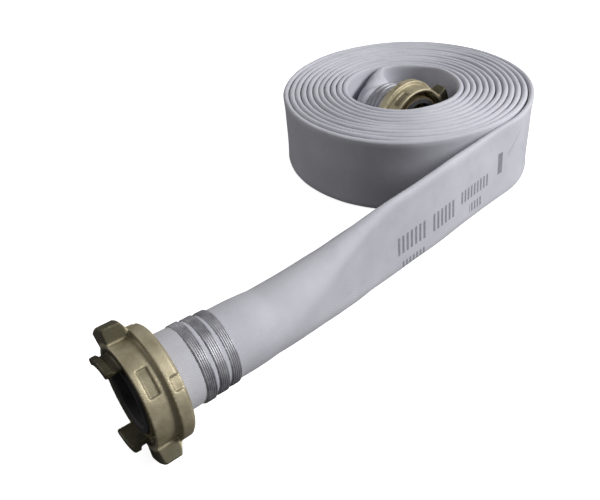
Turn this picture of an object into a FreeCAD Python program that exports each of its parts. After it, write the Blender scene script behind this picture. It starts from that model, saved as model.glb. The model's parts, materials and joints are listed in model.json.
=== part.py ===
import FreeCAD, Part

import math
import os
import re

import Sketcher

# A two-inch lay-flat fire hose, rolled up from its inner end, with a symmetrical claw coupling
# on each end. Millimetres, +Z up. The origin is on the floor, on the axis of the roll.
# The free end leaves the roll and runs in a nearly straight line to the outer coupling.
# A coupling's own frame has its origin in the middle of its front face, and +Z out of its mouth.

V = FreeCAD.Vector
UP = V(0, 0, 1)

# Shape details that no other piece depends on: millimetres, and degrees about a coupling's axis
STRAIGHT_OUT = 4.0   # hose between the end of a shank and where it starts to change shape
ROUND_FLAT = 0.4     # straight side left on the round hose
BEND_ROOM = 3.0      # least inside radius where the inner end is pressed round its bend
BEND_FLAT = 0.75     # share of the bend after which the inner end is flat
LUG_TURN = 128.0
CLAW_TURN = 105.0
RECESS_TURN = 50.0
TWIST_TURN = 165.0
TWIST_STEP = 12.0

os.makedirs("parts", exist_ok=True)
doc = FreeCAD.newDocument("rolled_fire_hose")

# ---------------------------------------------------------------------------------------------
# Driving dimensions
# ---------------------------------------------------------------------------------------------

SIZES = {
    # the empty hose: a woven jacket round a rubber lining, pressed nearly flat
    "hose_width": 84.0,
    "hose_thick": 5.8,
    "jacket_wall": 1.2,
    # the roll: the middle of its outermost turn, the step between turns, half turns from
    # the leaving point inwards, and the direction in which the leaving point lies
    "roll_radius": 141.5,
    "turn_step": 7.0,
    "half_turns": 22,
    "leave_angle": -52.6,
    # the free end
    "tail_run": 457.8,
    "tail_lean": 4.0,
    "tail_drift": 11.3,
    "drift_run": 200.0,
    "flat_run": 255.0,
    # the outer coupling: the height of its face, how far it lies outside the outermost turn's
    # middle, and its heading against the tail's
    "outer_height": 52.0,
    "outer_aside": 10.4,
    "outer_yaw": 1.4,
    "outer_rise": 3.5,
    # the inner coupling, lying level in the eye of the roll
    "inner_heading": -58.0,
    "inner_forward": 26.0,
    "inner_aside": 2.0,
    "inner_height": 45.5,
    # how far each claw ring is turned on its tailpiece
    "outer_spin": 0.0,
    "inner_spin": -110.0,
    # tailpiece: bore, shank under the hose, neck that the claw ring turns on, head
    "bore_radius": 22.0,
    "shank_radius": 25.8,
    "neck_radius": 28.0,
    "head_radius": 31.0,
    "head_front": 1.0,
    "head_back": 19.4,
    "hose_face": 31.5,
    "outer_length": 84.0,
    "inner_length": 60.0,
    "barb_depth": 0.8,
    "barb_step": 7.0,
    # seal pocket, in the head's front
    "seal_radius": 29.4,
    "seal_back": 9.0,
    "seal_proud": 0.6,
    # retaining ring and its groove on the neck
    "clip_groove": 26.9,
    "clip_radius": 29.6,
    "clip_front": 29.0,
    "clip_thick": 1.2,
    "clip_play": 0.2,
    # claw ring
    "play": 0.3,
    "body_radius": 40.5,
    "cavity_radius": 37.0,
    "flange_radius": 34.9,
    "flange_thick": 6.0,
    "hub_radius": 45.0,
    "hub_front": 17.5,
    "hub_back": 28.5,
    "hub_bevel": 2.5,
    "lug_radius": 53.5,
    "lug_back": 13.5,
    "lug_bevel": 1.5,
    "lug_arc": 35.0,
    "hook_stem": 34.6,
    "hook_head": 36.7,
    "hook_neck": 6.5,
    "hook_reach": 12.0,
    "hook_arc": 52.0,
    "entry_arc": 62.0,
    "recess_front": 4.5,
    "recess_back": 12.5,
    "recess_depth": 1.7,
    "recess_arc": 30.0,
    "notch_depth": 2.0,
    "notch_arc": 14.0,
    # bands of binding wire
    "wire_radius": 1.0,
    "wire_play": 0.4,
    "wire_step": 1.8,
    "outer_band_start": 45.5,
    "outer_band_step": 11.2,
    "inner_band_start": 39.6,
    "inner_band_step": 6.6,
    "twist_radius": 1.4,
    "twist_length": 7.0,
}

sheet = doc.addObject("Spreadsheet::Sheet", "Sizes")
for row, (alias, size) in enumerate(SIZES.items(), start=1):
    sheet.set(f"A{row}", alias)
    sheet.set(f"B{row}", str(size))
    sheet.setAlias(f"B{row}", alias)
doc.recompute()


def value(expression):
    """The size of a sum such as "-hub_back - 2.5": signed names from the sheet and numbers."""
    total = 0.0
    for sign, word in re.findall(r"([+-]?)\s*([a-z_]+|[0-9.]+)", expression):
        size = float(sheet.get(word)) if word[0].isalpha() else float(word)
        total += -size if sign == "-" else size
    return total


def bound(expression):
    """The same sum, written for FreeCAD's expression engine."""
    return re.sub(r"[a-z_]+", r"Sizes.\g<0>", expression)


def smooth(share):
    """0 to 1 with a level start and end."""
    share = min(max(share, 0.0), 1.0)
    return share * share * (3.0 - 2.0 * share)


def mix(low, high, share):
    return low + (high - low) * share


def heading(degrees):
    """Unit vector in the floor plane."""
    angle = math.radians(degrees)
    return V(math.cos(angle), math.sin(angle), 0)


hose_width = value("hose_width")
hose_thick = value("hose_thick")
hose_girth = 2 * (hose_width - hose_thick) + math.pi * hose_thick
round_radius = hose_girth / (2 * math.pi)
roll_radius = value("roll_radius")
half_step = value("turn_step") / 2

leave_way = heading(value("leave_angle"))
leave_point = leave_way * roll_radius
tail_angle = value("leave_angle") - 90
tail_way = heading(tail_angle)

# ---------------------------------------------------------------------------------------------
# Frames of the two couplings
# ---------------------------------------------------------------------------------------------


def coupling_frame(face, level_way, rise):
    """Placement with +Z out of the mouth, +X level and +Y up."""
    lift = math.radians(rise)
    out = level_way * math.cos(lift) + UP * math.sin(lift)
    side = V(-level_way.y, level_way.x, 0)
    return FreeCAD.Placement(face, FreeCAD.Rotation(side, out.cross(side), out, "ZXY"))


outer_face = leave_point + tail_way * value("tail_run") + leave_way * value("outer_aside")
outer_face.z = value("outer_height")
outer_way = heading(tail_angle - value("outer_yaw"))
outer_frame = coupling_frame(outer_face, outer_way, value("outer_rise"))

inner_way = heading(value("inner_heading"))
inner_left = V(inner_way.y, -inner_way.x, 0)
inner_face = inner_way * value("inner_forward") + inner_left * value("inner_aside")
inner_face.z = value("inner_height")
inner_frame = coupling_frame(inner_face, inner_way, 0.0)


def behind(frame, distance):
    """A point on a coupling's axis, a distance behind its front face."""
    return frame.multVec(V(0, 0, -distance))


# ---------------------------------------------------------------------------------------------
# The hose: a wound roll, and three free stretches that are a jacket with a lining inside it
# ---------------------------------------------------------------------------------------------

nodes = []


def plain_feature(name, shape):
    """A sub-part whose shape comes from Part's own functions."""
    feature = doc.addObject("Part::Feature", name)
    feature.Label = name
    feature.Shape = shape
    nodes.append(feature)


def jacket_and_lining(place, sections, shank=None):
    """One stretch of hose. The empty lining's two walls lie on each other, so it is solid
    except where the coupling's shank fills it."""
    jacket = loft_through(sections, 0)
    lining = loft_through(sections, value("jacket_wall"))
    plain_feature(f"hose_jacket_{place}", jacket.cut(lining))
    plain_feature(f"hose_lining_{place}", lining.cut(shank) if shank else lining)


def capsule_section(centre, across, upright, thick, height, depth):
    """A flattened tube's outline: two straight sides joined by two half circles."""
    reach = across * (thick / 2 - depth)
    bulge = upright * (thick / 2 - depth)
    low = centre - upright * ((height - thick) / 2)
    high = centre + upright * ((height - thick) / 2)
    edges = [
        Part.LineSegment(low - reach, high - reach).toShape(),
        Part.Arc(high - reach, high + bulge, high + reach).toShape(),
        Part.LineSegment(high + reach, low + reach).toShape(),
        Part.Arc(low + reach, low - bulge, low - reach).toShape(),
    ]
    return Part.Wire(edges)


def loft_through(sections, depth):
    """A solid through the centre, axes and size of each outline in turn, shrunk by a depth."""
    return Part.makeLoft([capsule_section(*one, depth) for one in sections], True, True)


def opened(share):
    """Thickness and height of the hose between flat (0) and round (1), at a constant girth."""
    thick = mix(hose_thick, 2 * round_radius, share)
    return thick, hose_girth / 2 + thick * (1 - math.pi / 2) + ROUND_FLAT * share


# The roll: half circles about two centres, each smaller than the one outside it by half a step.
# The last arc is cut short where the inner end joins it.

half_turns = int(value("half_turns"))
inner_turn = roll_radius - half_turns * half_step
bend_begin = value("inner_length") + STRAIGHT_OUT
bend_back = bend_begin - value("inner_forward")
bend_radius = (inner_turn ** 2 - bend_back ** 2 - value("inner_aside") ** 2) / (
    2 * (inner_turn - value("inner_aside")))
bend_centre = inner_way * -bend_back + inner_left * (value("inner_aside") - bend_radius)
join_angle = math.degrees(math.atan2(bend_centre.y, bend_centre.x))


def turn_arc(centre, radius, start, sweep):
    """An arc edge from a start angle, clockwise through the sweep."""
    points = [centre + heading(start - sweep * share) * radius for share in (0.0, 0.5, 1.0)]
    return Part.Arc(*points).toShape()


def half_turn(index, offset, sweep=180):
    """One side of the wound strip over a half turn, counted inwards from the leaving point.
    Odd half turns are drawn about a centre half a step away, which makes the spiral."""
    centre = leave_way * (-half_step * (index % 2))
    start = value("leave_angle") + (0 if index % 2 else 180)
    return turn_arc(centre, roll_radius - index * half_step + offset, start + sweep - 180, sweep)


def roll_solid():
    """All the turns together: outside, the outermost turn with its step at the leaving point;
    inside, the innermost turn with its step where the inner end joins it."""
    half_thick = hose_thick / 2
    join_sweep = join_angle - value("leave_angle")
    outside = [half_turn(1, half_thick), half_turn(0, half_thick)]
    inside = [
        half_turn(half_turns, -half_thick, join_sweep),
        half_turn(half_turns - 1, -half_thick),
        half_turn(half_turns - 2, -half_thick, 180 - join_sweep),
    ]
    inside[2].rotate(V(), UP, join_sweep)
    loops = []
    for edges in (outside, inside):
        ends = (edges[-1].Vertexes[-1].Point, edges[0].Vertexes[0].Point)
        loops.append(Part.Wire(Part.__sortEdges__(edges + [Part.makeLine(*ends)])))
    ring = Part.Face(loops[0]).cut(Part.Face(loops[1]))
    return ring.extrude(UP * hose_width)


plain_feature("hose_roll", roll_solid())

# The free end: flat on edge, leaning over the floor, then opening to a round tube that meets
# the outer coupling.

flat_run = value("flat_run")
round_run = value("tail_run") - value("outer_length") - STRAIGHT_OUT
end_run = value("tail_run") - value("hose_face")


def tail_section(run):
    """Outline of the free end at a distance from the leaving point."""
    share = smooth((run - flat_run) / (round_run - flat_run))
    thick, height = opened(share)
    settled = smooth(run / value("drift_run"))
    lean = math.radians(value("tail_lean") * settled)
    across = leave_way * math.cos(lean) + UP * math.sin(lean)
    upright = UP * math.cos(lean) - leave_way * math.sin(lean)
    middle = leave_point + tail_way * run + leave_way * value("tail_drift") * settled
    middle.z = (hose_width - hose_thick) / 2 * math.cos(lean) + hose_thick / 2
    axis_point = behind(outer_frame, value("tail_run") - run)
    across = mix(across, outer_frame.Rotation.multVec(V(1, 0, 0)), share).normalize()
    upright = mix(upright, outer_frame.Rotation.multVec(V(0, 1, 0)), share).normalize()
    return mix(middle, axis_point, share), across, upright, thick, height


drift_stations = [value("drift_run") * step / 9 for step in range(10)] + [flat_run]
open_stations = [mix(flat_run, round_run, step / 8) for step in range(9)] + [end_run]

# The inner end: round on the shank, then pressed flat round a tight bend into the first turn.

bend_sweep = 180 + value("inner_heading") - (join_angle - 90)
bend_length = bend_radius * math.radians(bend_sweep)
flat_after = bend_begin + BEND_FLAT * bend_length


def inner_section(distance):
    """Outline of the inner end at a distance behind the inner coupling's face."""
    start = value("inner_length")
    share = 1 - smooth((distance - start) / (flat_after - start))
    thick, height = opened(share)
    turned = math.degrees(max(0.0, distance - bend_begin) / bend_radius)
    outward = heading(value("inner_heading") + 270 - turned)
    crowd = max(0.0, thick / 2 - bend_radius + BEND_ROOM)
    crowd *= smooth((distance - start) / STRAIGHT_OUT)
    middle = bend_centre + outward * (bend_radius + crowd)
    middle -= inner_way * min(0.0, distance - bend_begin)
    middle.z = mix(hose_width / 2, value("inner_height"), share)
    return middle, outward, UP, thick, height


bend_stations = [value("hose_face"), value("inner_length"), bend_begin]
bend_stations += [bend_begin + bend_length * step / 12 for step in range(1, 13)]


def shank_room(end, frame):
    """The space that a coupling's shank takes inside the hose."""
    length = value(f"{end}_length")
    room = Part.makeCylinder(value("shank_radius"), length, V(0, 0, -length), UP)
    room.Placement = frame
    return room


jacket_and_lining("tail", [tail_section(run) for run in drift_stations])
jacket_and_lining("tail_end", [tail_section(run) for run in open_stations],
                  shank_room("outer", outer_frame))
jacket_and_lining("inner_end", [inner_section(distance) for distance in bend_stations],
                  shank_room("inner", inner_frame))

# ---------------------------------------------------------------------------------------------
# Drawing and turning the coupling's pieces
# ---------------------------------------------------------------------------------------------


def turned_sketch(body, name, corners, turn):
    """A closed outline in the upright plane through a body's axis, turned about that axis.
    A corner is a pair of sums: its distance from the axis and its height."""
    sketch = body.newObject("Sketcher::SketchObject", name)
    plane = next(part for part in body.Origin.OriginFeatures if part.Role == "XZ_Plane")
    sketch.AttachmentSupport = (plane, "")
    sketch.MapMode = "FlatFace"
    sketch.AttachmentOffset = FreeCAD.Placement(V(), FreeCAD.Rotation(V(0, 1, 0), turn))
    spots = [V(value(out), value(high), 0) for out, high in corners]
    for index, spot in enumerate(spots):
        sketch.addGeometry(Part.LineSegment(spot, spots[(index + 1) % len(spots)]))
    for index in range(len(spots)):
        following = (index + 1) % len(spots)
        sketch.addConstraint(Sketcher.Constraint("Coincident", index, 2, following, 1))
    for index, sums in enumerate(corners):
        for kind, axis, total in zip(("DistanceX", "DistanceY"), (-2, -1), sums):
            if value(total) == 0:
                sketch.addConstraint(Sketcher.Constraint("PointOnObject", index, 1, axis))
                continue
            row = sketch.addConstraint(
                Sketcher.Constraint(kind, -1, 1, index, 1, value(total)))
            sketch.setExpression(f"Constraints[{row}]", bound(total))
    return sketch


def turned(body, kind, name, corners, arc="360", turn=0.0, count=1):
    """Revolution or Groove of an outline through an arc centred on a turn, repeated evenly."""
    volume_before = body.Shape.Volume if body.Tip else 0.0
    sketch = turned_sketch(body, name + "_sketch", corners, turn)
    feature = body.newObject("PartDesign::" + kind, name)
    feature.Profile = sketch
    feature.ReferenceAxis = (sketch, ["V_Axis"])
    feature.Midplane = True
    feature.setExpression("Angle", bound(arc))
    sketch.Visibility = False
    doc.recompute()
    if count > 1:
        pattern = body.newObject("PartDesign::PolarPattern", name + "_pattern")
        axis = next(part for part in body.Origin.OriginFeatures if part.Role == "Z_Axis")
        pattern.Originals = [feature]
        pattern.Axis = (axis, [""])
        pattern.Angle = 360
        pattern.Occurrences = count
        body.Tip = pattern
        doc.recompute()
    change = body.Shape.Volume - volume_before
    if (kind == "Groove") != (change < 0):
        raise RuntimeError(f"{name}: the {kind} changes the volume by {change:.1f} mm3")


def new_body(name, frame):
    body = doc.addObject("PartDesign::Body", name)
    body.Label = name
    body.Placement = frame
    nodes.append(body)
    return body


# ---------------------------------------------------------------------------------------------
# Pieces of a coupling
# ---------------------------------------------------------------------------------------------


def claw_ring(end, frame):
    """The turning ring: body and hub, two grip lugs, two claws and the two slots that take the
    mating coupling's claws."""
    spin = FreeCAD.Placement(V(), FreeCAD.Rotation(UP, value(f"{end}_spin")))
    body = new_body(f"{end}_claw_ring", frame * spin)
    turned(body, "Revolution", f"{end}_ring_body", [
        ("flange_radius", "0"),
        ("body_radius", "0"),
        ("body_radius", "-hub_front"),
        ("hub_radius", "-hub_front"),
        ("hub_radius", "-hub_back + hub_bevel"),
        ("hub_radius - hub_bevel", "-hub_back"),
        ("neck_radius + play", "-hub_back"),
        ("neck_radius + play", "-head_back - play"),
        ("cavity_radius", "-head_back - play"),
        ("cavity_radius", "-flange_thick"),
        ("flange_radius", "-flange_thick"),
    ])
    turned(body, "Revolution", f"{end}_grip_lug", [
        ("cavity_radius + 1", "0"),
        ("lug_radius - lug_bevel", "0"),
        ("lug_radius", "-lug_bevel"),
        ("lug_radius", "-lug_back"),
        ("hub_radius + 1", "-hub_front"),
        ("cavity_radius + 1", "-hub_front"),
    ], "lug_arc", LUG_TURN, 2)
    turned(body, "Revolution", f"{end}_claw", [
        ("head_radius + play", "-hook_reach"),
        ("cavity_radius + 1", "-hook_reach"),
        ("cavity_radius + 1", "0"),
        ("hook_stem", "0"),
        ("hook_stem", "hook_neck"),
        ("hook_head", "hook_neck"),
        ("hook_head", "hook_reach - 1"),
        ("hook_head - 1", "hook_reach"),
        ("head_radius + play", "hook_reach"),
    ], "hook_arc", CLAW_TURN, 2)
    turned(body, "Groove", f"{end}_entry_slot", [
        ("flange_radius - 1", "-flange_thick - 1"),
        ("cavity_radius", "-flange_thick - 1"),
        ("cavity_radius", "1"),
        ("flange_radius - 1", "1"),
    ], "entry_arc", CLAW_TURN + 90, 2)
    turned(body, "Groove", f"{end}_side_recess", [
        ("body_radius - recess_depth", "-recess_back"),
        ("body_radius + 1", "-recess_back"),
        ("body_radius + 1", "-recess_front"),
        ("body_radius - recess_depth", "-recess_front"),
    ], "recess_arc", RECESS_TURN, 2)
    turned(body, "Groove", f"{end}_hub_notch", [
        ("hub_radius - notch_depth", "-hub_back - 1"),
        ("hub_radius + 1", "-hub_back - 1"),
        ("hub_radius + 1", "-hub_front - 3"),
        ("hub_radius - notch_depth", "-hub_front - 3"),
    ], "notch_arc", RECESS_TURN - 12, 4)


def tailpiece(end, frame):
    """The fixed tube: a head with the seal pocket, the neck that the ring turns on, the groove
    of the retaining ring, and the barbed shank under the hose."""
    body = new_body(f"{end}_tailpiece", frame)
    length = f"{end}_length"
    barbs = []
    for barb in range(int((value(length) - value("hose_face")) / value("barb_step"))):
        top = "-hose_face" + " - barb_step" * barb
        barbs.append(("shank_radius", top + " - 3"))
        barbs.append(("shank_radius - barb_depth", top + " - 3"))
        barbs.append(("shank_radius", top + " - 6"))
    turned(body, "Revolution", f"{end}_tube", [
        ("bore_radius", "-seal_back"),
        ("seal_radius", "-seal_back"),
        ("seal_radius", "-head_front"),
        ("head_radius", "-head_front"),
        ("head_radius", "-head_back"),
        ("neck_radius", "-head_back"),
        ("neck_radius", "-clip_front + clip_play"),
        ("clip_groove", "-clip_front + clip_play"),
        ("clip_groove", "-clip_front - clip_thick - clip_play"),
        ("neck_radius", "-clip_front - clip_thick - clip_play"),
        ("neck_radius", "-hose_face"),
        ("shank_radius", "-hose_face"),
        *barbs,
        ("shank_radius", f"-{length} + 1"),
        ("shank_radius - 1", f"-{length}"),
        ("bore_radius", f"-{length}"),
    ])


def face_seal(end, frame):
    """The rubber ring in the head's pocket, with a lip that stands proud of the face."""
    body = new_body(f"{end}_face_seal", frame)
    turned(body, "Revolution", f"{end}_seal_ring", [
        ("bore_radius + 0.6", "-seal_back"),
        ("seal_radius", "-seal_back"),
        ("seal_radius", "-head_front - 0.4"),
        ("seal_radius - 1.2", "seal_proud"),
        ("bore_radius + 2.2", "seal_proud"),
        ("bore_radius + 0.6", "-head_front"),
    ])


def retaining_ring(end, frame):
    """The split spring ring behind the claw ring."""
    body = new_body(f"{end}_retaining_ring", frame)
    turned(body, "Revolution", f"{end}_clip", [
        ("clip_groove", "-clip_front - clip_thick"),
        ("clip_radius", "-clip_front - clip_thick"),
        ("clip_radius", "-clip_front"),
        ("clip_groove", "-clip_front"),
    ], "338", 90)


def wire_band(end, frame, band, wraps):
    """One band of binding wire: its wraps side by side, and the twisted end laid along them."""
    name = f"{end}_binding_{band + 1}"
    start = value(f"{end}_band_start") + value(f"{end}_band_step") * band
    seat = round_radius + value("wire_radius") + value("wire_play")
    wires = []
    for wrap in range(wraps):
        ring = doc.addObject("Part::Torus", f"{name}_wrap_{wrap + 1}")
        ring.Radius1 = seat
        ring.setExpression("Radius2", bound("wire_radius"))
        ring.Placement.Base = V(0, 0, -start - value("wire_radius") - value("wire_step") * wrap)
        wires.append(ring)
    twist = doc.addObject("Part::Cylinder", f"{name}_twist")
    twist.setExpression("Radius", bound("twist_radius"))
    twist.Height = value("twist_length") - (0 if wraps > 3 else 2)
    twist_way = heading(TWIST_TURN + TWIST_STEP * band)
    twist.Placement.Base = twist_way * (seat + 0.8) + V(0, 0, -start - twist.Height.Value - 0.8)
    band_feature = doc.addObject("Part::MultiFuse", name)
    band_feature.Label = name
    band_feature.Shapes = wires + [twist]
    band_feature.Placement = frame
    nodes.append(band_feature)


for end, frame, wraps in (("outer", outer_frame, 5), ("inner", inner_frame, 3)):
    claw_ring(end, frame)
    tailpiece(end, frame)
    face_seal(end, frame)
    retaining_ring(end, frame)
    for band in range(3):
        wire_band(end, frame, band, wraps)

# ---------------------------------------------------------------------------------------------
# Checks and export
# ---------------------------------------------------------------------------------------------

doc.recompute()
for item in doc.Objects:
    if "Invalid" in item.State or "Error" in item.State:
        raise RuntimeError(f"{item.Name}: {item.State}")
for node in nodes:
    shape = node.Shape
    if shape.isNull() or not shape.isValid() or not shape.Solids:
        raise RuntimeError(f"{node.Label}: bad shape")
    print(f"{node.Label}: {len(shape.Solids)} solid, {shape.Volume / 1000:.1f} cm3")
    shape.exportStep(f"parts/{node.Label}.step")
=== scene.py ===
import json
import math

import bpy
from mathutils import Matrix, Vector, noise


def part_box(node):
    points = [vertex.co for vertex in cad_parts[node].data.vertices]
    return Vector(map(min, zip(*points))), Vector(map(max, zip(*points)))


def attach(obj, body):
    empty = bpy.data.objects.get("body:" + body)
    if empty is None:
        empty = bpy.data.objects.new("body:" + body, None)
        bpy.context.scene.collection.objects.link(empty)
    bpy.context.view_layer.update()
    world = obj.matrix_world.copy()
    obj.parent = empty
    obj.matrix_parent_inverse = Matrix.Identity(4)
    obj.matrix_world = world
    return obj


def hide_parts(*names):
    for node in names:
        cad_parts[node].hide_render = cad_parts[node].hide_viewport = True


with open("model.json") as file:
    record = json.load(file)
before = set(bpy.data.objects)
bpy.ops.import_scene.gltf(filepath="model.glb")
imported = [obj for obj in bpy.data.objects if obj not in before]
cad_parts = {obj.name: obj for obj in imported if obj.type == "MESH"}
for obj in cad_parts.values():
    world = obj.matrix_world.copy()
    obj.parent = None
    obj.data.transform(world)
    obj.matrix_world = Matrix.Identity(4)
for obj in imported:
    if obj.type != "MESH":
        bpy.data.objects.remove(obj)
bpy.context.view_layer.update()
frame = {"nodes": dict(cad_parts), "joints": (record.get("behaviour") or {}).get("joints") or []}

# A rolled two-inch fire hose with a wire-bound claw coupling on each end. Metres, +Z up, the
# origin on the floor on the axis of the roll. The frame holds the couplings; the hose, the
# binding wire and the cast rings are made here.

UP = Vector((0, 0, 1))


def smooth(share):
    """0 to 1 with a level start and end."""
    share = min(max(share, 0.0), 1.0)
    return share * share * (3.0 - 2.0 * share)


def mix(low, high, share):
    return low + (high - low) * share


def heading(degrees):
    """Unit vector in the floor plane."""
    angle = math.radians(degrees)
    return Vector((math.cos(angle), math.sin(angle), 0))


# ---------------------------------------------------------------------------------------------
# Camera
# ---------------------------------------------------------------------------------------------

CAMERA_PLACE = (-0.1418, -0.6778, 0.3856)
CAMERA_DOWN = 38.1
CAMERA_ROLL = -5.69
CAMERA_LENS = 36.67

camera_data = bpy.data.cameras.new("camera")
camera_data.lens = CAMERA_LENS
camera_data.sensor_width = 36
camera_data.sensor_fit = "HORIZONTAL"
camera = bpy.data.objects.new("camera", camera_data)
camera.matrix_world = (
    Matrix.Translation(CAMERA_PLACE)
    @ Matrix.Rotation(math.radians(90 - CAMERA_DOWN), 4, "X")
    @ Matrix.Rotation(math.radians(CAMERA_ROLL), 4, "Z")
)
bpy.context.scene.collection.objects.link(camera)
bpy.context.scene.camera = camera

# ---------------------------------------------------------------------------------------------
# Design sizes of the hose, and the frames of the couplings
# ---------------------------------------------------------------------------------------------

roll_low, roll_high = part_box("hose_roll")
HOSE_WIDTH = roll_high.z - roll_low.z
HOSE_THICK = 0.0058      # of the empty hose
HOSE_GIRTH = 2 * (HOSE_WIDTH - HOSE_THICK) + math.pi * HOSE_THICK
ROUND_RADIUS = HOSE_GIRTH / (2 * math.pi)
ROLL_RADIUS = 0.1415     # of the outermost turn's middle
TURN_STEP = 0.007
HALF_TURNS = 22
LEAVE_ANGLE = -52.6      # direction from the roll's axis in which the tail leaves it, degrees
TAIL_RUN = 0.4578        # from the leaving point to the outer coupling's face
FLAT_RUN = 0.18          # from the leaving point to where the tail starts to open
HOSE_FACE = 0.0315       # from a coupling's face to the end of the hose
STRAIGHT_OUT = 0.004     # from the end of a shank to where the hose starts to change shape
OUTER_LENGTH = 0.084     # from each coupling's face to the end of its shank
INNER_LENGTH = 0.060

joints = {joint["child"]: joint for joint in frame["joints"]}


def coupling_frame(body):
    """Matrix of a coupling: +Z out of its mouth, +X level, its origin on the front face."""
    out = Vector(joints[body]["axis"]).normalized()
    side = Vector((-out.y, out.x, 0)).normalized()
    place = Matrix((side, out.cross(side), out)).transposed().to_4x4()
    place.translation = joints[body]["pos_m"]
    return place


OUTER = coupling_frame("outer_ring")
INNER = coupling_frame("inner_ring")

leave_way = heading(LEAVE_ANGLE)
leave_point = leave_way * ROLL_RADIUS
tail_way = heading(LEAVE_ANGLE - 90)

# ---------------------------------------------------------------------------------------------
# Sweeping the hose along its stations
# ---------------------------------------------------------------------------------------------

FOLD_POINTS = 8          # steps round each folded edge
SIDE_POINTS = 16         # steps along each side between them
FOLD_LENGTH = math.pi * HOSE_THICK / 2
SIDE_LENGTH = HOSE_WIDTH - HOSE_THICK
WAIST = 0.0009           # how far each side of the flat hose sinks in between the folds
# The distance round the hose from the middle of its top fold to each point of its outline,
# down its inner side first
GIRTHS = [FOLD_LENGTH * step / FOLD_POINTS for step in range(FOLD_POINTS // 2)]
GIRTHS += [FOLD_LENGTH / 2 + SIDE_LENGTH * step / SIDE_POINTS for step in range(SIDE_POINTS)]
GIRTHS += [place + HOSE_GIRTH / 2 for place in
           [FOLD_LENGTH * (step / FOLD_POINTS - 0.5) for step in range(FOLD_POINTS // 2)]]
GIRTHS += [place + HOSE_GIRTH / 2 for place in GIRTHS]
GIRTHS.append(HOSE_GIRTH)


class Station:
    """One cross-section of the hose: where it is, how it stands and how far it is open."""

    def __init__(self, centre, across, upright, share, plump=1.0):
        self.centre = centre
        self.across = across.normalized()
        self.upright = upright.normalized()
        self.share = share
        self.plump = plump


def outline(share, plump):
    """The hose's outline from flat (0) to round (1): two sides with a slight waist between two
    round folds. Pairs of distance across and distance up, one for each girth."""
    thick = mix(HOSE_THICK * plump, 2 * ROUND_RADIUS, share)
    radius = thick / 2
    side = max(HOSE_GIRTH / 2 - math.pi * radius, 0.0)
    quarter = math.pi * radius / 2
    waist = WAIST * plump * max(1 - share, 0.0)
    points = []
    for girth in GIRTHS[:-1]:
        half, place = divmod(girth / HOSE_GIRTH * (2 * side + 4 * quarter), side + 2 * quarter)
        turn = -1 if half else 1
        if place < quarter:
            angle = place / radius
            across, rise = -radius * math.sin(angle), side / 2 + radius * math.cos(angle)
        elif place < quarter + side:
            level = 1 - 2 * (place - quarter) / side
            across, rise = -radius + waist * (1 - level ** 4), level * side / 2
        else:
            angle = (side + 2 * quarter - place) / radius
            across, rise = -radius * math.sin(angle), -side / 2 - radius * math.cos(angle)
        points.append((turn * across, turn * rise))
    return points


def sweep(name, stations, ruffle):
    """A tube mesh through the stations, open at both ends, with its unrolled lengths, in
    metres, as its UV map: along the hose and round its girth."""
    rings = []
    lengths = [0.0]
    for before, after in zip(stations, stations[1:]):
        lengths.append(lengths[-1] + (after.centre - before.centre).length)
    for station in stations:
        ring = []
        for across, rise in outline(station.share, station.plump):
            ring.append(station.centre + station.across * across + station.upright * rise)
        rings.append(ring)
    rings = [[ruffle(point, station, along) for point in ring]
             for ring, station, along in zip(rings, stations, lengths)]
    count = len(rings[0])
    vertices = [tuple(point) for ring in rings for point in ring]
    faces = []
    for row in range(len(rings) - 1):
        for step in range(count):
            after = (step + 1) % count
            faces.append((row * count + step, row * count + after,
                          (row + 1) * count + after, (row + 1) * count + step))
    mesh = bpy.data.meshes.new(name)
    mesh.from_pydata(vertices, [], faces)
    uv = mesh.uv_layers.new(name="UVMap")
    corner = 0
    for row in range(len(rings) - 1):
        for step in range(count):
            corners = ((row, step), (row, step + 1), (row + 1, step + 1), (row + 1, step))
            for along, round_it in corners:
                uv.data[corner].uv = (lengths[along], GIRTHS[round_it])
                corner += 1
    mesh.polygons.foreach_set("use_smooth", [True] * len(mesh.polygons))
    mesh.validate()
    piece = bpy.data.objects.new(name, mesh)
    bpy.context.scene.collection.objects.link(piece)
    return piece, lengths[-1]


# ---------------------------------------------------------------------------------------------
# The hose's line: wound inwards from the leaving point, and out along the floor
# ---------------------------------------------------------------------------------------------

STATION_STEP = 0.004     # hose between one cross-section and the next
LOOSE_SWEEP = 45.0       # the outer turn starts to lift off this far before the leaving point
LOOSE_LIFT = 0.0045      # how far it has lifted at the leaving point
LOOSE_LEAN = 4.5         # its lean there, degrees: the folded edge on the floor is further out

EVEN_SWEEP = 60.0        # degrees before the leaving point over which the turns get uneven
CROWDED = 0.14           # how much plumper the wound turns are, so that they touch
UNEVEN_PLUMP = 0.10
UNEVEN_RADIUS = 0.0007
TURN_LIFT = 0.0007       # mean height of a wound turn over the floor
UNEVEN_LIFT = 0.0014

TAIL_LEAN = 2.5
LEAN_START = 0.09        # where along the tail its lean starts to change, and over what length
LEAN_EASE = 0.1
TAIL_DRIFT = 0.0068      # how much further out the tail runs once it is straight
DRIFT_EASE = 0.2
TAIL_OPEN = 0.05         # how far open the empty tail stays
OPEN_EASE = 0.1
SLEEVE_OPEN = (1.06, 1.13)   # how far open it is over the shank's back end and at its front end
SLEEVE_EASE = 0.040      # distance behind the face at which the sleeve starts to narrow, and
                         # the length over which it does
inner_turn = ROLL_RADIUS - HALF_TURNS * TURN_STEP / 2


def wobble(size, *place):
    """Smooth repeatable unevenness."""
    return size * noise.noise(Vector(place))


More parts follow.
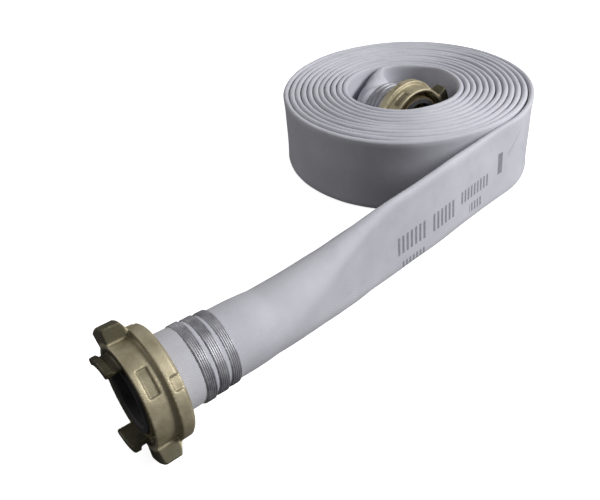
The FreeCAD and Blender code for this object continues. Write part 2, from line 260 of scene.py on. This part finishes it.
def wound_station(angle):
    """The hose at an angle wound back inwards from the leaving point, in degrees."""
    index = min(int(angle // 180), HALF_TURNS)
    centre = leave_way * (-TURN_STEP / 2 * (index % 2))
    across = heading(LEAVE_ANGLE + angle)
    radius = ROLL_RADIUS - index * TURN_STEP / 2
    turn = angle / 360
    uneven = smooth(angle / EVEN_SWEEP)
    radius += uneven * wobble(UNEVEN_RADIUS, across.x * 1.3, across.y * 1.3, turn * 0.9)
    lift = uneven * (TURN_LIFT + wobble(UNEVEN_LIFT, across.x * 1.1 + 9, across.y * 1.1,
                                        turn * 2.3))
    plump = 1.0 + uneven * (CROWDED + wobble(UNEVEN_PLUMP, across.x * 2 + 4, across.y * 2,
                                             turn * 1.7))
    loose = smooth(1 - angle / LOOSE_SWEEP)
    tilt = math.radians(LOOSE_LEAN * loose)
    radius += LOOSE_LIFT * loose
    middle = centre + across * radius + UP * (HOSE_WIDTH / 2 + lift)
    side = across * math.cos(tilt) + UP * math.sin(tilt)
    upright = UP * math.cos(tilt) - across * math.sin(tilt)
    return Station(middle, side, upright, 0.0, plump)


def sleeve_open(behind_face):
    """How far the hose is opened over a shank, at a distance behind the coupling's face."""
    narrowed = smooth((behind_face - SLEEVE_EASE) / SLEEVE_EASE)
    return mix(SLEEVE_OPEN[1], SLEEVE_OPEN[0], narrowed)


def tail_station(run):
    """The free end at a distance from the leaving point."""
    round_run = TAIL_RUN - OUTER_LENGTH - STRAIGHT_OUT
    share = smooth((run - FLAT_RUN) / (round_run - FLAT_RUN))
    tilt = math.radians(mix(LOOSE_LEAN, TAIL_LEAN, smooth((run - LEAN_START) / LEAN_EASE)))
    side = leave_way * math.cos(tilt) + UP * math.sin(tilt)
    upright = UP * math.cos(tilt) - leave_way * math.sin(tilt)
    offset = LOOSE_LIFT + TAIL_DRIFT * smooth(run / DRIFT_EASE)
    middle = leave_point + leave_way * offset + tail_way * run
    middle.z = HOSE_WIDTH / 2
    axis_point = OUTER @ Vector((0, 0, run - TAIL_RUN))
    side = mix(side, OUTER.to_3x3() @ Vector((1, 0, 0)), share)
    upright = mix(upright, OUTER.to_3x3() @ Vector((0, 1, 0)), share)
    opened = mix(TAIL_OPEN * smooth(run / OPEN_EASE), sleeve_open(TAIL_RUN - run), share)
    return Station(mix(middle, axis_point, share), side, upright, opened)


# The free tail is the only stretch that hangs together as a loose cord: it starts on the outer
# turn, where it comes out from behind the next one, and ends in the outer coupling.

TAIL_BACK = 40.0         # degrees of the outer turn that belong to the tail's piece
BACK_STEPS = 26
tail_stations = [wound_station(TAIL_BACK * (1 - step / BACK_STEPS)) for step in range(BACK_STEPS)]
TAIL_START = sum((after.centre - before.centre).length
                 for before, after in zip(tail_stations, tail_stations[1:] + [tail_station(0.0)]))
tail_runs = int((TAIL_RUN - HOSE_FACE) / STATION_STEP)
tail_stations += [tail_station((TAIL_RUN - HOSE_FACE) * step / tail_runs)
                  for step in range(tail_runs + 1)]

TAIL_DENTS = 0.0006
GATHER_DENTS = 0.0005    # added where the wire gathers the hose
GATHER_START = 0.30
GATHER_EASE = 0.15


def tail_ruffle(point, station, along):
    """Soft unevenness of the empty hose, and gathers where the wire binds it."""
    size = TAIL_DENTS + GATHER_DENTS * smooth((along - GATHER_START) / GATHER_EASE)
    return point + station.across * wobble(size, point.x * 22, point.y * 22, point.z * 30)


hose_tail, tail_length = sweep("hose_tail", tail_stations, tail_ruffle)
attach(hose_tail, "root")
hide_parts("hose_jacket_tail", "hose_jacket_tail_end", "hose_lining_tail",
            "hose_lining_tail_end")

# ---------------------------------------------------------------------------------------------
# The roll and its inner end
# ---------------------------------------------------------------------------------------------

inner_forward = Vector(joints["inner_ring"]["pos_m"])
inner_way = Vector(joints["inner_ring"]["axis"])
inner_left = Vector((inner_way.y, -inner_way.x, 0))
forward = inner_forward.dot(inner_way)
aside = inner_forward.dot(inner_left)
bend_begin = INNER_LENGTH + STRAIGHT_OUT
bend_back = bend_begin - forward
bend_radius = (inner_turn ** 2 - bend_back ** 2 - aside ** 2) / (2 * (inner_turn - aside))
bend_centre = inner_way * -bend_back + inner_left * (aside - bend_radius)
join_angle = math.degrees(math.atan2(bend_centre.y, bend_centre.x))
inner_heading = math.degrees(math.atan2(inner_way.y, inner_way.x))
bend_sweep = 180 + inner_heading - (join_angle - 90)
bend_length = bend_radius * math.radians(bend_sweep)

BEND_FLAT = 0.75         # share of the bend after which the inner end is flat
BEND_ROOM = 0.003        # least inside radius of the bend
BEND_STEP = 0.002        # hose between cross-sections in the inner end
SETTLE_SWEEP = 25        # degrees over which the innermost turn takes up its unevenness
FOLD_DENTS = 0.0003
flat_after = bend_begin + BEND_FLAT * bend_length


def inner_station(distance):
    """The inner end at a distance behind the inner coupling's face, along the hose."""
    share = 1 - smooth((distance - INNER_LENGTH) / (flat_after - INNER_LENGTH))
    opened = share * sleeve_open(distance)
    thick = mix(HOSE_THICK, 2 * ROUND_RADIUS, opened)
    turned = math.degrees(max(0.0, distance - bend_begin) / bend_radius)
    outward = heading(inner_heading + 270 - turned)
    crowd = max(0.0, thick / 2 - bend_radius + BEND_ROOM)
    crowd *= smooth((distance - INNER_LENGTH) / STRAIGHT_OUT)
    middle = bend_centre + outward * (bend_radius + crowd)
    middle -= inner_way * min(0.0, distance - bend_begin)
    middle.z = mix(HOSE_WIDTH / 2, INNER.translation.z, share)
    return Station(middle, outward, UP, opened)


inner_stations = []
distance = HOSE_FACE
while distance < bend_begin + bend_length - BEND_STEP / 2:
    inner_stations.append(inner_station(distance))
    distance += BEND_STEP

wound_stations = []
angle = HALF_TURNS * 180 + join_angle - LEAVE_ANGLE
inner_most = angle
while angle > TAIL_BACK:
    station = wound_station(angle)
    settle = smooth((inner_most - angle) / SETTLE_SWEEP)
    station.centre.z = mix(HOSE_WIDTH / 2, station.centre.z, settle)
    station.plump = mix(1.0, station.plump, settle)
    wound_stations.append(station)
    radius = ROLL_RADIUS - int(angle // 180) * TURN_STEP / 2
    angle -= math.degrees(STATION_STEP / radius)
wound_stations.append(wound_station(TAIL_BACK))


def roll_ruffle(point, station, _along):
    """Small dents in the folded edges."""
    return point + station.across * wobble(FOLD_DENTS, point.x * 60, point.y * 60, point.z * 40)


wound_hose, _ = sweep("wound_hose", inner_stations + wound_stations, roll_ruffle)
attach(wound_hose, "root")
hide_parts("hose_roll", "hose_jacket_inner_end", "hose_lining_inner_end")

# ---------------------------------------------------------------------------------------------
# Cast claw rings: the frame's rings with softened edges
# ---------------------------------------------------------------------------------------------

# Where a ring gets its painted shade, in its coupling's own frame, and how deeply
FACE_DEPTH = 0.0016
FACE_RADIUS = 0.0375
FRONT_DEPTH = 0.0145     # the lugs and recesses lie in front of this
LUG_RADIUS = 0.0412
# Strength of the painted shade on the lugs, in the recesses and on the claws
LUG_SHADE = 0.85
RECESS_FLOOR = 0.0380
RECESS_EDGE = 0.0389
RECESS_SHADE = 0.5
CLAW_SHADE = 0.5

# The lengths over which it fades in and out
FACE_EASE = 0.0012
LUG_EASE = 0.002
RECESS_FLOOR_EASE = 0.0004
RECESS_EDGE_EASE = 0.0009


def past(distance, start, ease):
    """0 before a start, 1 once past it by an ease."""
    return smooth((distance - start) / ease)


def painted_shade_at(spot):
    """Depth of the painted shade at a point of a ring: heaviest on the front face and the lugs."""
    out = math.hypot(spot.x, spot.y)
    front = 1 - past(-spot.z, FRONT_DEPTH, LUG_EASE)
    face = past(spot.z, -FACE_DEPTH, FACE_EASE) * (1 - past(out, FACE_RADIUS, FACE_EASE))
    lug = LUG_SHADE * past(out, LUG_RADIUS, LUG_EASE) * front
    recess = RECESS_SHADE * (1 - past(out, RECESS_EDGE, RECESS_EDGE_EASE))
    recess *= past(out, RECESS_FLOOR, RECESS_FLOOR_EASE) * front
    claw = CLAW_SHADE * past(spot.z, 0.0, LUG_EASE)
    return max(face, lug, recess, claw)


def softened(node, body, place, voxel, rounds):
    """A copy of a CAD node with its edges rounded like a forging's, and the depth of its
    painted shade stored at each point."""
    piece = frame["nodes"][node].copy()
    piece.data = piece.data.copy()
    piece.name = node + "_forged"
    for key in list(piece.keys()):
        if key.startswith("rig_"):
            del piece[key]
    piece.parent = None
    bpy.context.scene.collection.objects.link(piece)
    remesh = piece.modifiers.new("remesh", "REMESH")
    remesh.mode = "VOXEL"
    remesh.voxel_size = voxel
    remesh.use_smooth_shade = True
    soften = piece.modifiers.new("soften", "SMOOTH")
    soften.factor = 0.5
    soften.iterations = rounds
    depsgraph = bpy.context.evaluated_depsgraph_get()
    mesh = bpy.data.meshes.new_from_object(piece.evaluated_get(depsgraph))
    piece.modifiers.clear()
    piece.data = mesh
    # Painted shade: how dark each point is painted where shade falls on the front face, lugs,
    # recesses and claws
    painted_shade = mesh.attributes.new("painted_shade", "FLOAT", "POINT")
    inward = place.inverted() @ piece.matrix_world
    for vertex, mark in zip(mesh.vertices, painted_shade.data):
        mark.value = painted_shade_at(inward @ vertex.co)
    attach(piece, body)
    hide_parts(node)
    return piece


rings = [softened("outer_claw_ring", "outer_ring", OUTER, voxel=0.0007, rounds=4),
         softened("inner_claw_ring", "inner_ring", INNER, voxel=0.0009, rounds=3)]

# ---------------------------------------------------------------------------------------------
# Binding wire
# ---------------------------------------------------------------------------------------------


def wire_curve(name, points, radius):
    """A round wire along a list of points."""
    curve = bpy.data.curves.new(name, "CURVE")
    curve.dimensions = "3D"
    spline = curve.splines.new("POLY")
    spline.points.add(len(points) - 1)
    for spot, point in zip(spline.points, points):
        spot.co = (*point, 1)
    curve.bevel_depth = radius
    curve.bevel_resolution = 3
    curve.use_fill_caps = True
    made = bpy.data.objects.new(name, curve)
    bpy.context.scene.collection.objects.link(made)
    return made


def joined_mesh(name, parts):
    """One mesh object from several curve objects."""
    depsgraph = bpy.context.evaluated_depsgraph_get()
    vertices, faces = [], []
    for part in parts:
        mesh = bpy.data.meshes.new_from_object(part.evaluated_get(depsgraph))
        base = len(vertices)
        vertices += [tuple(vertex.co) for vertex in mesh.vertices]
        faces += [tuple(base + index for index in face.vertices) for face in mesh.polygons]
        bpy.data.objects.remove(part)
    mesh = bpy.data.meshes.new(name)
    mesh.from_pydata(vertices, [], faces)
    mesh.polygons.foreach_set("use_smooth", [True] * len(mesh.polygons))
    piece = bpy.data.objects.new(name, mesh)
    bpy.context.scene.collection.objects.link(piece)
    return piece


WIRE_RADIUS = 0.00095
WIRE_STEP = 0.0019       # between one wrap and the next
WIRE_SINK = 0.00025      # unevenness of the wraps
WIRE_PROUD = 0.25        # height of a wrap's middle over the hose, in its own radii
WRAPS = {"outer": 5, "inner": 3}
WRAP_POINTS = 72
TWIST_TURN = 165.0       # where round the hose the first band's twisted ends lie, degrees
TWIST_STEP = 12.0
TWIST_POINTS = 40
TWIST_TURNS = 2.5
TWIST_RADIUS = 0.0011
TWIST_LIFT = 0.0018
TWIST_SLIP = 0.004       # how far its tip lies off the straight line along the hose
TWIST_AHEAD = 0.001      # how far it starts in front of the band, and how much longer it is
TWIST_EXTRA = 0.003
STRAND_RADIUS = WIRE_RADIUS * 0.9


def binding(end, place, band):
    """One band: a wire wound side by side round the hose, its two ends twisted together and
    pressed down along it."""
    node = f"{end}_binding_{band + 1}"
    low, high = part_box(node)
    middle = (low + high) / 2
    wraps = WRAPS[end]
    spot = place.inverted() @ middle
    seat = mix(HOSE_THICK / 2, ROUND_RADIUS, sleeve_open(-spot.z)) + WIRE_RADIUS * WIRE_PROUD
    width = (wraps - 1) * WIRE_STEP
    turn = math.radians(TWIST_TURN + TWIST_STEP * band)
    steps = WRAP_POINTS * wraps
    wound = []
    for step in range(steps + 1):
        share = step / steps
        angle = turn + 2 * math.pi * wraps * share
        reach = seat + wobble(WIRE_SINK, share * 4, band * 3, 1)
        wound.append(place @ Vector((reach * math.cos(angle), reach * math.sin(angle),
                                     spot.z + width * (0.5 - share))))
    parts = [wire_curve(node + "_wound", wound, WIRE_RADIUS)]
    for strand in (0, 1):
        twist = []
        for step in range(TWIST_POINTS + 1):
            share = step / TWIST_POINTS
            angle = 2 * math.pi * TWIST_TURNS * share + math.pi * strand
            lift = seat + TWIST_LIFT + TWIST_RADIUS * math.sin(angle)
            slip = TWIST_RADIUS * math.cos(angle) + TWIST_SLIP * share * share
            around = turn + slip / seat
            rise = spot.z + width / 2 + TWIST_AHEAD - (width + TWIST_EXTRA) * share
            twist.append(place @ Vector((lift * math.cos(around), lift * math.sin(around), rise)))
        parts.append(wire_curve(f"{node}_strand_{strand}", twist, STRAND_RADIUS))
    piece = joined_mesh(node + "_wire", parts)
    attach(piece, "root")
    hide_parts(node)
    return piece


BANDS = 3
wires = [binding(end, place, band)
         for end, place in (("outer", OUTER), ("inner", INNER)) for band in range(BANDS)]

# ---------------------------------------------------------------------------------------------
# Materials
# ---------------------------------------------------------------------------------------------


class Shader:
    """A node tree being built: each method adds one node and gives its output."""

    def __init__(self, name):
        self.material = bpy.data.materials.new(name)
        self.material.use_nodes = True
        self.tree = self.material.node_tree
        self.surface = self.tree.nodes["Principled BSDF"]

    def add(self, kind, inputs=(), output=0, **settings):
        node = self.tree.nodes.new(kind)
        for key, setting in settings.items():
            setattr(node, key, setting)
        for key, source in dict(inputs).items():
            self.feed(node.inputs[key], source)
        return node.outputs[output]

    def feed(self, socket, source):
        if isinstance(source, bpy.types.NodeSocket):
            self.tree.links.new(source, socket)
        else:
            socket.default_value = source

    def maths(self, operation, first, second=0.0, third=0.0):
        return self.add("ShaderNodeMath", {0: first, 1: second, 2: third}, operation=operation)

    def noise(self, where, scale, detail=3.0, roughness=0.5):
        return self.add("ShaderNodeTexNoise", {"Vector": where, "Scale": scale, "Detail": detail,
                                               "Roughness": roughness})

    def ramp(self, share, low, high, start=0.0, end=1.0):
        """A value or colour that goes from low to high as share goes from start to end."""
        span = self.add("ShaderNodeMapRange", {"Value": share, "From Min": start, "From Max": end},
                        clamp=True)
        if isinstance(low, tuple):
            node = self.tree.nodes.new("ShaderNodeMix")
            node.data_type = "RGBA"
            self.feed(node.inputs["Factor"], span)
            self.feed(node.inputs[6], low)
            self.feed(node.inputs[7], high)
            return node.outputs[2]
        return self.maths("MULTIPLY_ADD", span, high - low, low)

    def blend(self, share, low, high):
        node = self.tree.nodes.new("ShaderNodeMix")
        node.data_type = "RGBA"
        self.feed(node.inputs["Factor"], share)
        self.feed(node.inputs[6], low)
        self.feed(node.inputs[7], high)
        return node.outputs[2]

    def finish(self, **sockets):
        for name, source in sockets.items():
            self.feed(self.surface.inputs[name.replace("_", " ")], source)
        return self.material


# Rows of plain printed dashes on the tail's outer side: start and end along the tail from the
# leaving point, height of the row's middle over the hose's middle, dash height, pitch
DASH_ROWS = (
    (0.098, 0.135, -0.012, 0.020, 0.0062),
    (0.144, 0.187, -0.012, 0.020, 0.0062),
    (0.038, 0.086, -0.008, 0.014, 0.0056),
    (0.050, 0.071, -0.027, 0.010, 0.0050),
    (0.146, 0.180, -0.035, 0.007, 0.0050),
    (0.012, 0.022, 0.001, 0.024, 0.0160),
)
DASH_SHARE = 0.52
# Painted shade of a soft crease beside the leaving point: its middle, half its length and its
# slope down
CREASE_SHADE = (-0.008, 0.014, 0.016, 0.80)


def woven_jacket(printed):
    """White woven polyester: a fine weave and soft soiling, and on the tail the dashes and
    a painted shade line of a crease.
    """
    shader = Shader("woven_jacket_printed" if printed else "woven_jacket")
    where = shader.add("ShaderNodeTexCoord", output=3)
    flat = shader.add("ShaderNodeTexCoord", output=2)
    parts = shader.tree.nodes.new("ShaderNodeSeparateXYZ")
    shader.feed(parts.inputs[0], flat)
    weft = shader.maths("SINE", shader.maths("MULTIPLY", parts.outputs[0], 2 * math.pi / 0.0022))
    warp = shader.maths("SINE", shader.maths("MULTIPLY", parts.outputs[1], 2 * math.pi / 0.0018))
    weave = shader.maths("MULTIPLY", weft, warp)
    stain = shader.noise(where, 14.0, 5.0, 0.6)
    cloud = shader.noise(where, 60.0, 3.0, 0.5)
    thread = shader.noise(where, 900.0, 2.0, 0.6)
    colour = shader.ramp(stain, (0.49, 0.49, 0.545, 1), (0.60, 0.60, 0.655, 1), 0.3, 0.7)
    colour = shader.blend(shader.ramp(cloud, 0.0, 0.2, 0.55, 0.75), colour, (0.36, 0.36, 0.41, 1))
    colour = shader.blend(shader.ramp(weave, 0.10, 0.0, -1.0, 0.6), colour, (0.28, 0.28, 0.32, 1))
    if printed:
        # Painted shade: a faint dark line where a soft crease would lie in shade
        middle, level, half, slope = CREASE_SHADE
        along = shader.maths("SUBTRACT", parts.outputs[0], TAIL_START + middle)
        up = shader.maths("SUBTRACT", parts.outputs[1], HOSE_GIRTH * 0.75 + level)
        off = shader.maths("ABSOLUTE", shader.maths("MULTIPLY_ADD", along, slope, up))
        middling = shader.ramp(shader.maths("ABSOLUTE", along), 1.0, 0.0, half / 2, half)
        crease_shade = shader.maths("MULTIPLY", shader.ramp(off, 0.45, 0.0, 0.0, 0.0022), middling)
        colour = shader.blend(crease_shade, colour, (0.25, 0.25, 0.29, 1))
    for start, end, rise, tall, pitch in DASH_ROWS if printed else ():
        along = shader.maths("SUBTRACT", parts.outputs[0], TAIL_START + start)
        up = shader.maths("SUBTRACT", parts.outputs[1], HOSE_GIRTH * 0.75 + rise)
        inside = shader.maths("LESS_THAN", shader.maths("ABSOLUTE", up), tall / 2)
        inside = shader.maths("MULTIPLY", inside, shader.maths("GREATER_THAN", along, 0.0))
        inside = shader.maths("MULTIPLY", inside, shader.maths("LESS_THAN", along, end - start))
        part = shader.maths("FRACT", shader.maths("DIVIDE", along, pitch))
        inside = shader.maths("MULTIPLY", inside, shader.maths("LESS_THAN", part, DASH_SHARE))
        ink = shader.maths("MULTIPLY", inside, shader.ramp(thread, 0.45, 0.8, 0.35, 0.6))
        colour = shader.blend(ink, colour, (0.085, 0.09, 0.12, 1))
    height = shader.maths("ADD", shader.maths("MULTIPLY", weave, 0.5),
                          shader.maths("MULTIPLY", thread, 0.4))
    fine = shader.add("ShaderNodeBump", {"Height": height, "Strength": 0.35, "Distance": 0.0003})
    broad = shader.add("ShaderNodeBump", {"Height": cloud, "Strength": 0.3, "Distance": 0.001,
                                          "Normal": fine})
    roughness = shader.ramp(thread, 0.62, 0.85)
    return shader.finish(Base_Color=colour, Roughness=roughness, Normal=broad, Sheen_Weight=0.25,
                         Specular_IOR_Level=0.35)


def cast_brass():
    """Forged brass: bright worn edges, olive patina in the hollows, a sandy skin, and painted
    shade on the front face, lugs, recesses and claws.
    """
    shader = Shader("cast_brass")
    where = shader.add("ShaderNodeTexCoord", output=3)
    worn = shader.add("ShaderNodeNewGeometry", output=7)
    blotch = shader.noise(where, 38.0, 5.0, 0.6)
    sand = shader.noise(where, 700.0, 3.0, 0.6)
    colour = shader.ramp(blotch, (0.33, 0.285, 0.18, 1), (0.56, 0.50, 0.35, 1), 0.35, 0.65)
    colour = shader.blend(shader.ramp(worn, 0.75, 0.0, 0.40, 0.50), colour, (0.10, 0.09, 0.045, 1))
    colour = shader.blend(shader.ramp(worn, 0.0, 0.7, 0.52, 0.60), colour, (0.78, 0.68, 0.48, 1))
    # Painted shade: the front face, lugs, recesses and claws darkened towards near black, in
    # patches
    painted_shade = shader.add("ShaderNodeAttribute", output=2, attribute_name="painted_shade")
    patchy_shade = shader.maths("MULTIPLY", painted_shade, shader.ramp(blotch, 0.75, 1.0, 0.3, 0.6))
    colour = shader.blend(patchy_shade, colour, (0.035, 0.033, 0.014, 1))
    bump = shader.add("ShaderNodeBump", {"Height": sand, "Strength": 0.35, "Distance": 0.0004})
    roughness = shader.ramp(blotch, 0.42, 0.62, 0.3, 0.7)
    return shader.finish(Base_Color=colour, Metallic=0.5, Roughness=roughness, Normal=bump)


def turned_brass():
    """Machined brass with fine turning marks."""
    shader = Shader("turned_brass")
    where = shader.add("ShaderNodeTexCoord", output=3)
    blotch = shader.noise(where, 60.0, 4.0, 0.6)
    fine = shader.noise(where, 1500.0, 2.0, 0.5)
    colour = shader.ramp(blotch, (0.36, 0.28, 0.15, 1), (0.60, 0.49, 0.29, 1), 0.3, 0.7)
    bump = shader.add("ShaderNodeBump", {"Height": fine, "Strength": 0.2, "Distance": 0.0002})
    return shader.finish(Base_Color=colour, Metallic=0.9,
                         Roughness=shader.ramp(blotch, 0.28, 0.45), Normal=bump)


def black_seal():
    """Matte moulded rubber with a dusty bloom."""
    shader = Shader("black_seal")
    where = shader.add("ShaderNodeTexCoord", output=3)
    bloom = shader.noise(where, 90.0, 4.0, 0.6)
    grain = shader.noise(where, 1200.0, 2.0, 0.5)
    colour = shader.ramp(bloom, (0.012, 0.012, 0.013, 1), (0.045, 0.043, 0.045, 1), 0.35, 0.75)
    bump = shader.add("ShaderNodeBump", {"Height": grain, "Strength": 0.25, "Distance": 0.0002})
    return shader.finish(Base_Color=colour, Roughness=shader.ramp(bloom, 0.55, 0.8), Normal=bump)


def steel(name, low, high, fineness=220.0):
    """Grey metal with dull patches, of a low and a high colour."""
    shader = Shader(name)
    where = shader.add("ShaderNodeTexCoord", output=3)
    patch = shader.noise(where, fineness, 4.0, 0.6)
    colour = shader.ramp(patch, low, high, 0.3, 0.7)
    bump = shader.add("ShaderNodeBump", {"Height": patch, "Strength": 0.25, "Distance": 0.0002})
    return shader.finish(Base_Color=colour, Metallic=0.7,
                         Roughness=shader.ramp(patch, 0.45, 0.65), Normal=bump)


def dress(piece, material):
    piece.data.materials.clear()
    piece.data.materials.append(material)


dress(hose_tail, woven_jacket(True))
dress(wound_hose, woven_jacket(False))
ring_material = cast_brass()
for piece in rings:
    dress(piece, ring_material)
wire_material = steel("binding_wire", (0.26, 0.26, 0.29, 1), (0.62, 0.62, 0.66, 1),
                      fineness=60.0)
for piece in wires:
    dress(piece, wire_material)

NODE_MATERIALS = {
    "tailpiece": turned_brass(),
    "face_seal": black_seal(),
    "retaining_ring": steel("spring_steel", (0.25, 0.25, 0.26, 1), (0.45, 0.45, 0.46, 1)),
}
for name, node in frame["nodes"].items():
    for word, material in NODE_MATERIALS.items():
        if word in name:
            for slot in node.material_slots:
                slot.material = material

# ---------------------------------------------------------------------------------------------
# Floor and light
# ---------------------------------------------------------------------------------------------

FLOOR_GLOW = 0.8         # what the camera sees of the floor is lit a little from within
FLOOR_REACH = 30

floor_mesh = bpy.data.meshes.new("floor")
floor_corners = [(side * FLOOR_REACH, depth * FLOOR_REACH, 0)
                 for side, depth in ((-1, -1), (1, -1), (1, 1), (-1, 1))]
floor_mesh.from_pydata(floor_corners, [], [(0, 1, 2, 3)])
floor = bpy.data.objects.new("floor", floor_mesh)
bpy.context.scene.collection.objects.link(floor)
floor_shader = Shader("floor")
floor_grain = floor_shader.noise(floor_shader.add("ShaderNodeTexCoord", output=3), 5.0)
seen = floor_shader.add("ShaderNodeLightPath", output=0)
pale = floor_shader.ramp(floor_grain, (0.93, 0.93, 0.93, 1), (0.96, 0.96, 0.96, 1))
dress(floor, floor_shader.finish(
    Base_Color=floor_shader.blend(seen, (0.12, 0.12, 0.125, 1), pale), Roughness=0.9,
    Specular_IOR_Level=0.0, Emission_Color=(1, 1, 1, 1),
    Emission_Strength=floor_shader.maths("MULTIPLY", seen, FLOOR_GLOW)))


def area_light(name, place, aim, size, power):
    data = bpy.data.lights.new(name, "AREA")
    data.shape = "DISK"
    data.size = size
    data.energy = power
    light = bpy.data.objects.new(name, data)
    light.location = place
    light.rotation_euler = (Vector(aim) - Vector(place)).to_track_quat("-Z", "Y").to_euler()
    bpy.context.scene.collection.objects.link(light)


area_light("key", (1.2, -0.5, 0.95), (0, -0.15, 0.04), 0.6, 26)
area_light("fill", (-1.3, 0.1, 0.7), (-0.1, -0.1, 0.04), 0.8, 3)

world = bpy.data.worlds.new("world")
world.use_nodes = True
background = world.node_tree.nodes["Background"]
background.inputs["Color"].default_value = (1, 1, 1, 1)
background.inputs["Strength"].default_value = 0.22
bpy.context.scene.world = world
bpy.context.scene.view_settings.view_transform = "Standard"
